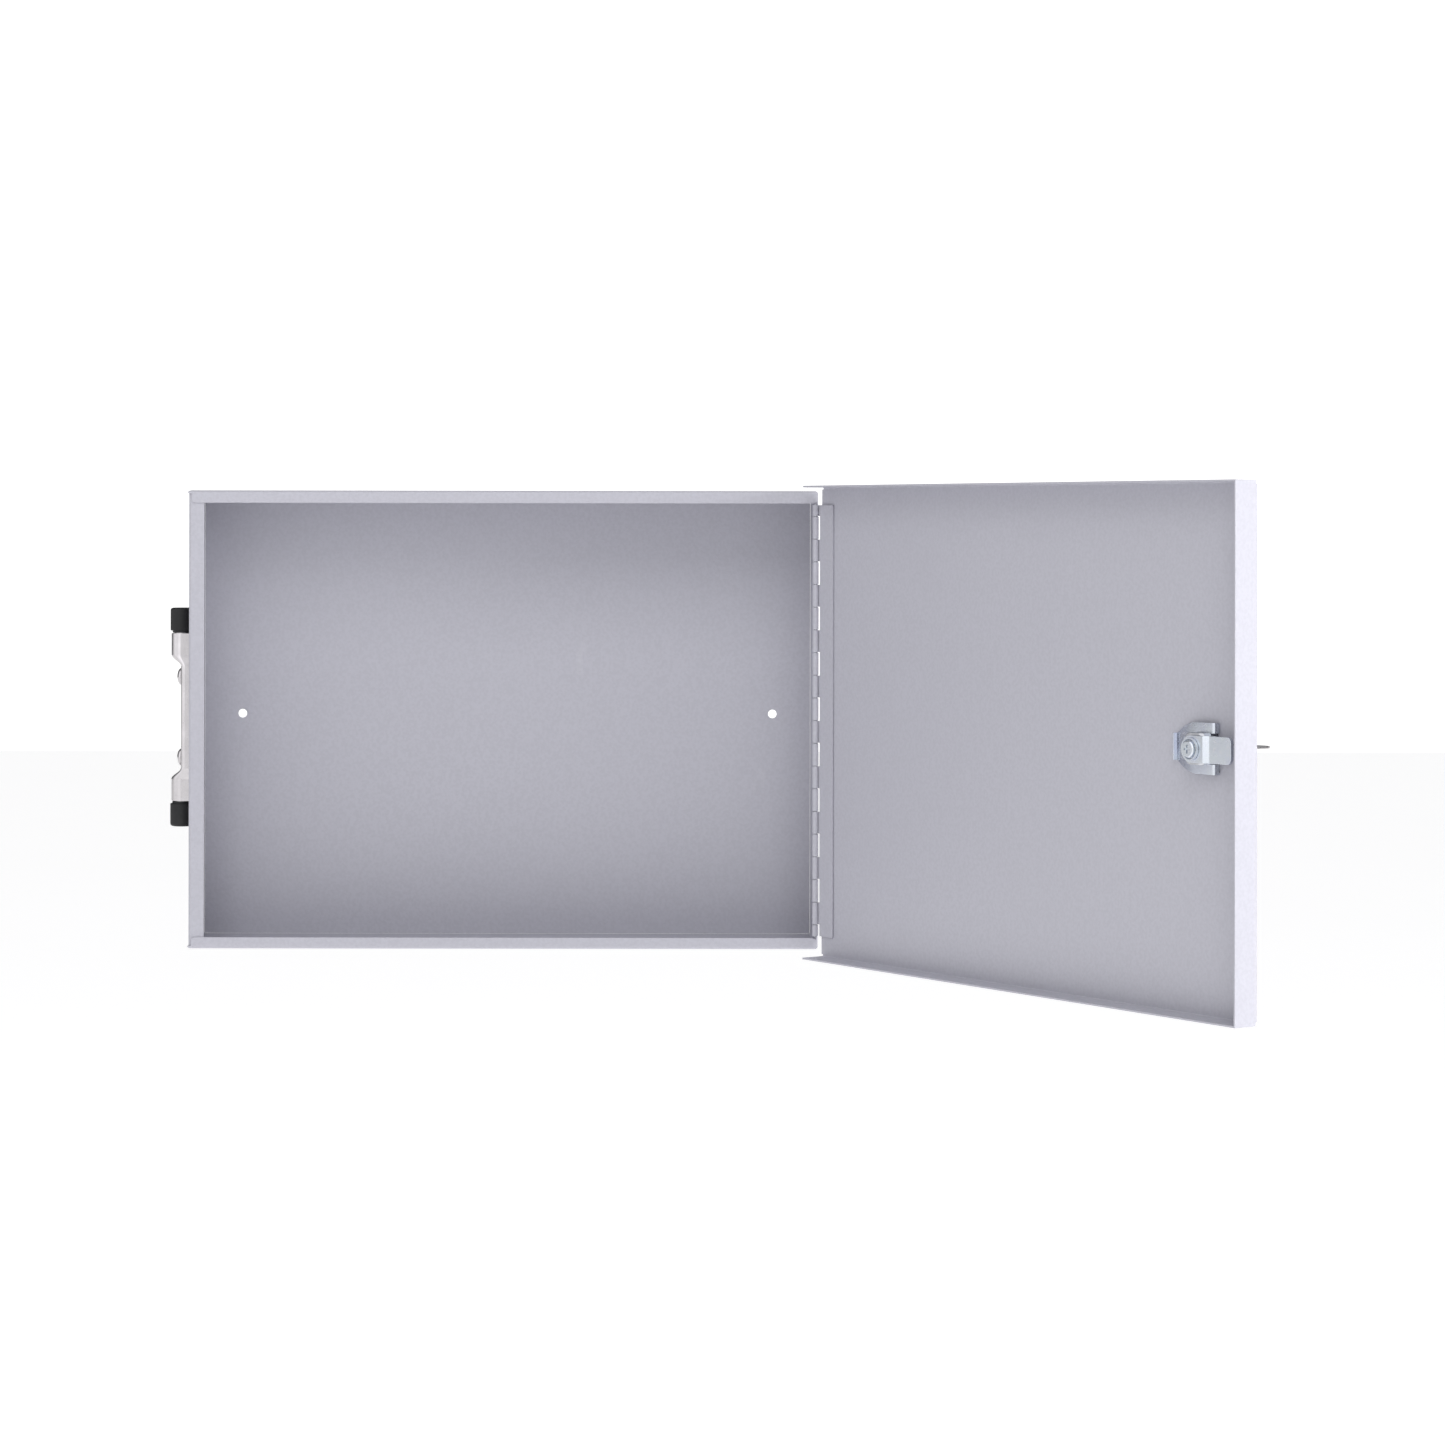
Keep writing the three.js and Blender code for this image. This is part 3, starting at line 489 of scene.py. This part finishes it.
def turned(name, profile, steps=64):
    # A closed turned solid about z from (radius, height) pairs that start and end on the axis.
    work = bmesh.new()
    poles = [work.verts.new((0, 0, profile[0][1])), work.verts.new((0, 0, profile[-1][1]))]
    rings = []
    angles = [2 * math.pi * i / steps for i in range(steps)]
    for radius, height in profile[1:-1]:
        ring = [(radius * math.cos(a), radius * math.sin(a), height) for a in angles]
        rings.append([work.verts.new(point) for point in ring])
    for i in range(steps):
        j = (i + 1) % steps
        work.faces.new((poles[0], rings[0][i], rings[0][j]))
        work.faces.new((poles[1], rings[-1][i], rings[-1][j]))
        for low, high in zip(rings, rings[1:]):
            work.faces.new((low[i], low[j], high[j], high[i]))
    return fromWork(name, work)


def arc(centre, radius, start, end, steps):
    # Points on an arc; start and end are in degrees.
    x, y = centre
    angles = [math.radians(start + (end - start) * i / steps) for i in range(steps + 1)]
    return [(x + radius * math.cos(a), y + radius * math.sin(a)) for a in angles]


def smooth(share):
    # Eases a share from 0 to 1 in and out.
    return share * share * (3 - 2 * share)


# A piece repeated along a line by Geometry Nodes.
rowInputs = {
    "Piece": "NodeSocketGeometry",
    "Count": "NodeSocketInt",
    "First Place": "NodeSocketVector",
    "Pitch": "NodeSocketVector",
    "Finish": "NodeSocketMaterial",
}


def rowTree():
    tree = bpy.data.node_groups.new("repeatAlongLine", "GeometryNodeTree")
    for name, kind in rowInputs.items():
        tree.interface.new_socket(name, in_out="INPUT", socket_type=kind)
    tree.interface.new_socket("Row", in_out="OUTPUT", socket_type="NodeSocketGeometry")
    given = tree.nodes.new("NodeGroupInput")
    line = tree.nodes.new("GeometryNodeMeshLine")
    line.mode = "OFFSET"
    copies = tree.nodes.new("GeometryNodeInstanceOnPoints")
    real = tree.nodes.new("GeometryNodeRealizeInstances")
    painted = tree.nodes.new("GeometryNodeSetMaterial")
    result = tree.nodes.new("NodeGroupOutput")
    tree.links.new(given.outputs["Count"], line.inputs["Count"])
    tree.links.new(given.outputs["First Place"], line.inputs["Start Location"])
    tree.links.new(given.outputs["Pitch"], line.inputs["Offset"])
    tree.links.new(line.outputs["Mesh"], copies.inputs["Points"])
    tree.links.new(given.outputs["Piece"], copies.inputs["Instance"])
    tree.links.new(copies.outputs["Instances"], real.inputs["Geometry"])
    tree.links.new(real.outputs["Geometry"], painted.inputs["Geometry"])
    tree.links.new(given.outputs["Finish"], painted.inputs["Material"])
    tree.links.new(painted.outputs["Geometry"], result.inputs["Row"])
    return tree


repeatTree = rowTree()


def repeated(piece, count, first, pitch, material):
    row = piece.modifiers.new("row", "NODES")
    row.node_group = repeatTree
    items = repeatTree.interface.items_tree
    sockets = {item.name: item.identifier for item in items if item.in_out == "INPUT"}
    row[sockets["Count"]] = count
    row[sockets["First Place"]] = first
    row[sockets["Pitch"]] = pitch
    row[sockets["Finish"]] = material
    return settled(piece)


# Handing a finished piece to the frame.
def fitted(piece, *replaced):
    name = slotOf[replaced[0]]
    piece.data.materials.clear()
    piece.data.materials.append(finishes[name])
    for polygon in piece.data.polygons:
        polygon.material_index = 0
    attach(piece, bodyOf[replaced[0]])
    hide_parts(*replaced)
    return piece


# Pieces cut and folded in the frame itself, with their edges eased.
easedParts = {  # part: (piece, edge radius in mm, rounds)
    "wall_ring": ("folded_wall_ring", 0.16, 2),
    "door_panel": ("folded_door_pan", 0.16, 2),
    "lock_housing": ("lock_housing_turned", 0.12, 2),
    "lock_clip": ("lock_spring_clip", 0.14, 2),
    "lock_cam": ("lock_cam_pressed", 0.22, 2),
    "cam_washer": ("cam_washer_dished", 0.1, 2),
    "cam_screw": ("cam_screw_headed", 0.1, 2),
    "lock_plug": ("lock_plug_turned", 0.06, 1),
    "key": ("key_blank_cut", 0.2, 3),
}
copyWork = {"mergeWithin": 0.002, "flatWithin": 0.4}  # mm, and degrees between faces made one


def easedCopy(part):
    name, edge, rounds = easedParts[part]
    work = bmesh.new()
    work.from_mesh(nodes[part].data)
    bmesh.ops.remove_doubles(work, verts=work.verts, dist=copyWork["mergeWithin"] * mm)
    bmesh.ops.dissolve_limit(work, angle_limit=math.radians(copyWork["flatWithin"]),
                             verts=work.verts, edges=work.edges)
    mesh = bpy.data.meshes.new(name)
    work.to_mesh(mesh)
    work.free()
    return fitted(eased(linked(name, mesh), edge * mm, rounds), part)


backPanel = {
    "holeSpacing": 307.0,
    "holeRadius": 2.5,
    "dish": 0.25,  # depth of the rim round each hole
    "dishRadius": 4.6,
    "edge": 0.2,
    "roundness": 48,  # sides of the round holes
}


def pressedBackPanel():
    # A flat panel whose two screw holes have a shallow dished rim.
    low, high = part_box("back_panel")
    outline = [(low.x, low.z), (high.x, low.z), (high.x, high.z), (low.x, high.z)]
    panel = prism("pressed_back_panel", outline, -high.y, -low.y)
    hole, dish = backPanel["holeRadius"] * mm, backPanel["dishRadius"] * mm
    thick = high.y - low.y
    drill = turned("drill", [(0, -mm), (hole, -mm), (hole, thick - backPanel["dish"] * mm),
                             (dish, thick + 0.02 * mm), (dish, thick + mm), (0, thick + mm)],
                   backPanel["roundness"])
    spacing = backPanel["holeSpacing"] * mm
    repeated(drill, 2, (-spacing / 2, 0, 0), (spacing, 0, 0), finishes["painted_sheet"])
    combined(panel, drill, "DIFFERENCE")
    placed(panel, Matrix.Rotation(math.pi / 2, 4, "X"))
    eased(panel, backPanel["edge"] * mm, angle=edgeEasing["wideAngle"])
    fitted(panel, "back_panel")


for part in easedParts:
    easedCopy(part)
pressedBackPanel()
print("sheet and lock pieces eased:", len(easedParts))


# Piano hinge: two notched leaves with rolled knuckles.
hingeShape = {
    "pitch": 12.7,
    "joints": 19,
    "radius": 1.75,
    "sheet": 0.8,
    "leafWidth": 14.5,
    "clear": 2.65,  # from the pin's axis to the plate's notched edge
    "gap": 0.5,  # between knuckles
    "roll": 288,  # degrees that the strip turns round the pin
    "bodyOffset": -0.6,  # outer face of each leaf from the pin's axis
    "doorOffset": -1.75,
    "edge": 0.1,
    "tabLap": 0.1,  # how far a tab starts inside its plate
    "tabSteps": 8,
    "rollSteps": 40,
    "weldPitch": 38.1,
    "weldRadius": 2.3,
    "weldDepth": 0.05,
    "weldShift": 1.0,  # from the middle of the plate, away from the pin
    "weldSides": 32,
}


def rolledSection(offset):
    # Outline of one knuckle and its tab: a strip that leaves the plate and rolls round the pin.
    half = hingeShape["sheet"] / 2
    mean = hingeShape["radius"] - half
    start = -hingeShape["clear"] - hingeShape["tabLap"]
    steps = hingeShape["tabSteps"]
    path = [(start * (1 - i / steps), (offset + half) + (-mean - offset - half) * smooth(i / steps))
            for i in range(steps)]
    path += arc((0, 0), mean, -90, -90 + hingeShape["roll"], hingeShape["rollSteps"])
    sides = [[], []]
    for i, (x, y) in enumerate(path):
        before, after = path[max(i - 1, 0)], path[min(i + 1, len(path) - 1)]
        along = Vector((after[0] - before[0], after[1] - before[1])).normalized()
        sides[0].append(((x + along.y * half) * mm, (y - along.x * half) * mm))
        sides[1].append(((x - along.y * half) * mm, (y + along.x * half) * mm))
    return sides[0] + sides[1][::-1]


def hingeLeaf(name, part, place, offset, first):
    # first is 0 for the leaf whose half knuckle is at the top, 1 for the one at the bottom.
    finish = finishes[slotOf[part]]
    pitch, gap = hingeShape["pitch"], hingeShape["gap"]
    reach = hingeShape["joints"] * pitch / 2
    section = rolledSection(offset)
    full = prism(name + "Knuckles", section, 0, (pitch - gap) * mm)
    lowest = -reach + (pitch / 2 + gap / 2 if first == 0 else pitch * 1.5 + gap / 2)
    count = hingeShape["joints"] // 2
    knuckles = repeated(full, count, (0, 0, lowest * mm), (0, 0, 2 * pitch * mm), finish)
    halfLow = reach - pitch / 2 + gap / 2 if first == 0 else -reach
    halfKnuckle = prism("half", section, halfLow * mm, (halfLow + pitch / 2 - gap / 2) * mm)
    low, high = offset * mm, (offset + hingeShape["sheet"]) * mm
    near, far = -hingeShape["clear"] * mm, -hingeShape["leafWidth"] * mm
    plate = [(far, low), (near, low), (near, high), (far, high)]
    leaf = prism(name, plate, -reach * mm, reach * mm)
    combined(leaf, halfKnuckle, "UNION")
    combined(leaf, knuckles, "UNION")
    radius, weldPitch = hingeShape["weldRadius"] * mm, hingeShape["weldPitch"]
    welds = turned("welds", [(0, 1), (radius, 1), (radius, 0), (0, -hingeShape["weldDepth"] * mm)],
                   hingeShape["weldSides"])
    placed(welds, Matrix.Rotation(-math.pi / 2, 4, "X"))
    middle = -(hingeShape["leafWidth"] + hingeShape["clear"]) / 2 - hingeShape["weldShift"]
    spots = int(2 * reach // weldPitch)
    bottom = -(spots - 1) / 2 * weldPitch
    repeated(welds, spots, (middle * mm, high, bottom * mm), (0, 0, weldPitch * mm), finish)
    combined(leaf, welds, "DIFFERENCE")
    eased(placed(leaf, place), hingeShape["edge"] * mm)
    fitted(leaf, part)


hingeLeaf("hinge_leaf_on_body", "hinge_body_leaf", bodyHingePlace, hingeShape["bodyOffset"], 1)
hingeLeaf("hinge_leaf_on_door", "hinge_door_leaf", doorPlace, hingeShape["doorOffset"], 0)
print("hinge rolled")


# Carrying handle.
handleShape = {
    "wall": 6.95,  # pivot axis to the side wall
    "seat": 0.3,
    "length": (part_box("handle_bracket")[1].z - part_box("handle_bracket")[0].z) / mm,
    "sheet": 1.5,
    "barrel": 12.3,
    "shoulder": 6.4,
    "outer": 6.15,
    "webHeight": 7.1,
    "webHalfWidth": 7.6,
    "webRadius": 2.4,
    "edge": 0.16,
    "bendSteps": 12,
    "shoulderSteps": 10,
    "rivetSpacing": 45.8,
    "rivetHole": 2.55,
    "rivetHoleSides": 40,
    "gripReach": 31.0,
    "gripWidth": 7.6,
    "gripDepth": 12.0,
    "gripRound": 3.2,
    "gripBend": 13.0,
    "gripBendSteps": 20,
    "gripRoundSteps": 8,
    "gripEdge": 0.25,
    "bossRadius": 6.75,
    "bossLength": 14.2,
    "bossEdge": 1.6,
    "bossSides": 64,
    "neckRadius": 5.6,
    "neckLength": 1.2,
    "neckRound": 0.5,
    "pivotRadius": 4.5,
    "pivotInGrip": 10.0,
    "pivotSides": 48,
}


def saddleRing(share, height):
    # Section of the pressed bracket: an arch over the wall, from a barrel (0) to the low web (1).
    shape = handleShape
    half = shape["outer"] + (shape["webHalfWidth"] - shape["outer"]) * share
    top = -shape["outer"] + (shape["wall"] - shape["webHeight"] + shape["outer"]) * share
    bend = shape["outer"] - 0.05 + (shape["webRadius"] - shape["outer"] + 0.05) * share
    foot = shape["wall"] - shape["seat"]
    sides = []
    for inset in (0, shape["sheet"]):
        reach, crown, turn = half - inset, top + inset, bend - inset
        left = arc((crown + turn, -reach + turn), turn, -90, -180, shape["bendSteps"])
        right = arc((crown + turn, reach - turn), turn, 180, 90, shape["bendSteps"])
        sides.append([(foot, -reach), *left, *right, (foot, reach)])
    outline = sides[0] + sides[1][::-1]
    return [(x * mm, y * mm, height * mm) for x, y in outline]


def pressedBracket():
    half = handleShape["length"] / 2
    barrel = half - handleShape["barrel"]
    web = barrel - handleShape["shoulder"]
    steps = handleShape["shoulderSteps"]
    upper = [(web, 1)]
    for i in range(1, steps):
        upper.append((web + (barrel - web) * i / steps, smooth(1 - i / steps)))
    upper += [(barrel, 0), (half, 0)]
    stations = [(-height, share) for height, share in upper[::-1]] + upper
    bracket = skinned("pressed_bracket", [saddleRing(share, height) for height, share in stations])
    radius, reach = handleShape["rivetHole"] * mm, 3 * mm
    holes = turned("holes", [(0, -reach), (radius, -reach), (radius, reach), (0, reach)],
                   handleShape["rivetHoleSides"])
    placed(holes, Matrix.Rotation(math.pi / 2, 4, "Y"))
    spacing = handleShape["rivetSpacing"]
    repeated(holes, 2, (0, 0, -spacing / 2 * mm), (0, 0, spacing * mm), finishes["nickel_plate"])
    combined(bracket, holes, "DIFFERENCE")
    fitted(eased(placed(bracket, handlePlace), handleShape["edge"] * mm), "handle_bracket")


def gripSection():
    # Outline across the grip: a rounded bar.
    half, deep = handleShape["gripWidth"] / 2, handleShape["gripDepth"] / 2
    turn, steps = handleShape["gripRound"], handleShape["gripRoundSteps"]
    outline = []
    for sideX, sideY, start in ((1, -1, -90), (1, 1, 0), (-1, 1, 90), (-1, -1, 180)):
        centre = (sideX * (half - turn), sideY * (deep - turn))
        outline += arc(centre, turn, start, start + 90, steps)
    return outline


def foldingGrip():
    shape = handleShape
    bossStart = shape["length"] / 2 + shape["seat"]
    bossEnd = bossStart + shape["bossLength"]
    barHeight = bossStart + shape["neckLength"] + (shape["bossLength"] - shape["neckLength"]) / 2
    reach, bend, steps = shape["gripReach"], shape["gripBend"], shape["gripBendSteps"]
    lower = [(0, -barHeight, 0)]
    for i in range(steps + 1):
        angle = math.pi / 2 * i / steps
        y = reach - bend + bend * math.sin(angle)
        lower.append((y, -barHeight + bend - bend * math.cos(angle), angle))
    upper = [(y, -z, math.pi - angle) for y, z, angle in lower[::-1]]
    outline = gripSection()
    rings = []
    for y, z, angle in lower + upper:
        up, out = math.cos(angle), math.sin(angle)
        rings.append([(x * mm, (y + d * out) * mm, (z - d * up) * mm) for x, d in outline])
    grip = skinned("folding_grip", rings)
    edge, radius, neck = shape["bossEdge"], shape["bossRadius"], bossStart + shape["neckLength"]
    turn = shape["neckRound"]
    profile = [(0, bossStart), (shape["neckRadius"], bossStart), (shape["neckRadius"], neck)]
    profile += arc((radius - turn, neck + turn), turn, -90, 0, 4)
    profile += arc((radius - edge, bossEnd - edge), edge, 0, 90, 8)
    profile += [(0, bossEnd)]
    bore = shape["pivotRadius"] + shape["seat"] / 2
    mouth, deepest = bossStart - 1, bossStart + shape["pivotInGrip"] + shape["seat"]
    drill = [(0, mouth), (bore, mouth), (bore, deepest), (0, deepest)]
    for side in (1, -1):
        boss = turned("boss", [(r * mm, side * z * mm) for r, z in profile], shape["bossSides"])
        combined(grip, boss, "UNION")
        hole = turned("bore", [(r * mm, side * z * mm) for r, z in drill], shape["pivotSides"])
        combined(grip, hole, "DIFFERENCE")
    eased(placed(grip, handlePlace), shape["gripEdge"] * mm, angle=edgeEasing["wideAngle"])
    fitted(grip, "handle_grip")


rivetShape = {
    "head": 4.8,  # radii, and heights along the rivet
    "height": 2.5,
    "crown": 0.35,
    "shank": 2.4,
    "shoulder": 4.0,
    "tail": 3.8,
    "tailHeight": 1.4,
    "tailSlope": 0.8,
    "wallSheet": 1.0,
    "edge": 0.15,
    "sides": 48,
}


def headedRivets():
    shape, handle = rivetShape, handleShape
    web = handle["wall"] - handle["webHeight"]
    seat = web - handle["seat"] / 2
    rise = shape["height"] - shape["crown"]
    dome = [(shape["head"] * math.sin(math.radians(a)),
             seat - shape["crown"] - rise * math.cos(math.radians(a))) for a in range(0, 91, 9)]
    under = web + handle["sheet"] + handle["seat"] / 2
    atWall = handle["wall"] - handle["seat"] / 2
    inside = handle["wall"] + shape["wallSheet"] + handle["seat"] / 2
    end = inside + shape["tailHeight"]
    shank, shoulder, tail = shape["shank"], shape["shoulder"], shape["tail"]
    profile = dome + [(shape["head"], seat), (shank, seat), (shank, under), (shoulder, under),
                      (shoulder, atWall), (shank, atWall), (shank, inside), (tail, inside),
                      (tail - shape["tailSlope"], end), (0, end)]
    rivet = turned("handle_rivets", [(r * mm, h * mm) for r, h in profile], shape["sides"])
    placed(rivet, Matrix.Rotation(math.pi / 2, 4, "Y"))
    eased(rivet, shape["edge"] * mm)
    spacing = handle["rivetSpacing"]
    repeated(rivet, 2, (0, 0, -spacing / 2 * mm), (0, 0, spacing * mm), finishes["nickel_plate"])
    fitted(placed(rivet, handlePlace), "handle_rivet_upper", "handle_rivet_lower")


pressedBracket()
foldingGrip()
headedRivets()
print("handle made")


# The frame's own parts that show as they are.
shown = [name for name, node in nodes.items() if not node.hide_render]
for name in shown:
    nodes[name].data.materials[0] = finishes[slotOf[name]]
print("frame parts finished:", len(shown))


# Floor and light.
studio = {
    "floorDrop": 0.30,  # below the cabinet
    "floorSize": 14.0,
    "floorDepth": 0.02,
    "floorColour": (0.80, 0.80, 0.81),
    "floorShade": 0.97,  # share of the colour where it is darkest
    "floorRoughness": 0.85,
    "floorGlow": 0.52,
    "ambient": 0.54,
    "backdrop": 1.25,
    "bandGlow": 1.6,
    "bandTint": 1.02,  # a little more blue in what is glossy
    "bands": (  # share of a turn from the left by way of the front, and its brightness
        (0.0, 0.7), (0.04, 0.8), (0.13, 0.8), (0.16, 1.0), (0.2, 1.0), (0.24, 0.45), (0.3, 0.5),
        (0.41, 0.6), (0.45, 0.05), (0.5, 0.08), (0.58, 0.5), (0.7, 0.3), (0.785, 0.06), (0.9, 0.08),
        (0.94, 0.25), (0.965, 0.36), (1.0, 0.7)),
    "lightAim": (0.05, -0.1, 0),
    "lights": (  # place, watts, size, whether it shows in what is glossy
        ((1.3, -0.75, 0.2), 10.0, 0.5, False),
        ((0.1, -3.0, 2.3), 36.0, 1.8, False),
    ),
}


def paleFloor():
    size = studio["floorSize"] / 2
    height = cadBox[0][2] - studio["floorDrop"]
    outline = [(-size, -size), (size, -size), (size, size), (-size, size)]
    floor = prism("floor", outline, height - studio["floorDepth"], height)
    finish = Finish("paleFloor")
    soft = finish.noise(1.2, detail=2.0)
    colour = studio["floorColour"]
    shade = tuple(studio["floorShade"] * part for part in colour)
    finish.set(colour=finish.blend(soft, shade, colour), roughness=studio["floorRoughness"])
    finish.shader.inputs["Emission Color"].default_value = (1, 1, 1, 1)
    finish.shader.inputs["Emission Strength"].default_value = studio["floorGlow"]
    floor.data.materials.append(finish.material)


def studioWorld():
    # White all round; what is glossy also finds darker bands to reflect.
    world = bpy.data.worlds.new("studio")
    bpy.context.scene.world = world
    world.use_nodes = True
    tree = world.node_tree
    soft = tree.nodes["Background"]
    soft.inputs["Color"].default_value = (1, 1, 1, 1)
    soft.inputs["Strength"].default_value = studio["ambient"]
    seen = tree.nodes.new("ShaderNodeBackground")
    seen.inputs["Color"].default_value = (1, 1, 1, 1)
    seen.inputs["Strength"].default_value = studio["backdrop"]
    bands = tree.nodes.new("ShaderNodeBackground")
    place = tree.nodes.new("ShaderNodeTexCoord")
    bands.inputs["Strength"].default_value = studio["bandGlow"]
    wave = tree.nodes.new("ShaderNodeTexGradient")
    wave.gradient_type = "RADIAL"
    ramp = tree.nodes.new("ShaderNodeValToRGB")
    stops = ramp.color_ramp.elements
    for i, (bearing, grey) in enumerate(studio["bands"]):
        stop = stops[i] if i < 2 else stops.new(bearing)
        stop.position = bearing
        stop.color = (grey, grey, grey * studio["bandTint"], 1)
    tree.links.new(place.outputs["Generated"], wave.inputs["Vector"])
    path = tree.nodes.new("ShaderNodeLightPath")
    gloss = tree.nodes.new("ShaderNodeMixShader")
    mix = tree.nodes.new("ShaderNodeMixShader")
    tree.links.new(wave.outputs["Fac"], ramp.inputs["Fac"])
    tree.links.new(ramp.outputs["Color"], bands.inputs["Color"])
    tree.links.new(path.outputs["Is Glossy Ray"], gloss.inputs["Fac"])
    tree.links.new(soft.outputs["Background"], gloss.inputs[1])
    tree.links.new(bands.outputs["Background"], gloss.inputs[2])
    tree.links.new(path.outputs["Is Camera Ray"], mix.inputs["Fac"])
    tree.links.new(gloss.outputs["Shader"], mix.inputs[1])
    tree.links.new(seen.outputs["Background"], mix.inputs[2])
    tree.links.new(mix.outputs["Shader"], tree.nodes["World Output"].inputs["Surface"])


def softLights():
    aim = Vector(studio["lightAim"])
    for i, (place, watts, size, glossy) in enumerate(studio["lights"]):
        data = bpy.data.lights.new(f"softLight{i + 1}", "AREA")
        data.energy = watts
        data.size = size
        light = bpy.data.objects.new(data.name, data)
        light.location = place
        light.visible_glossy = glossy
        light.rotation_euler = (aim - Vector(place)).to_track_quat("-Z", "Y").to_euler()
        bpy.context.scene.collection.objects.link(light)


paleFloor()
studioWorld()
softLights()
bpy.context.scene.view_settings.view_transform = "Standard"
print("floor and light placed")
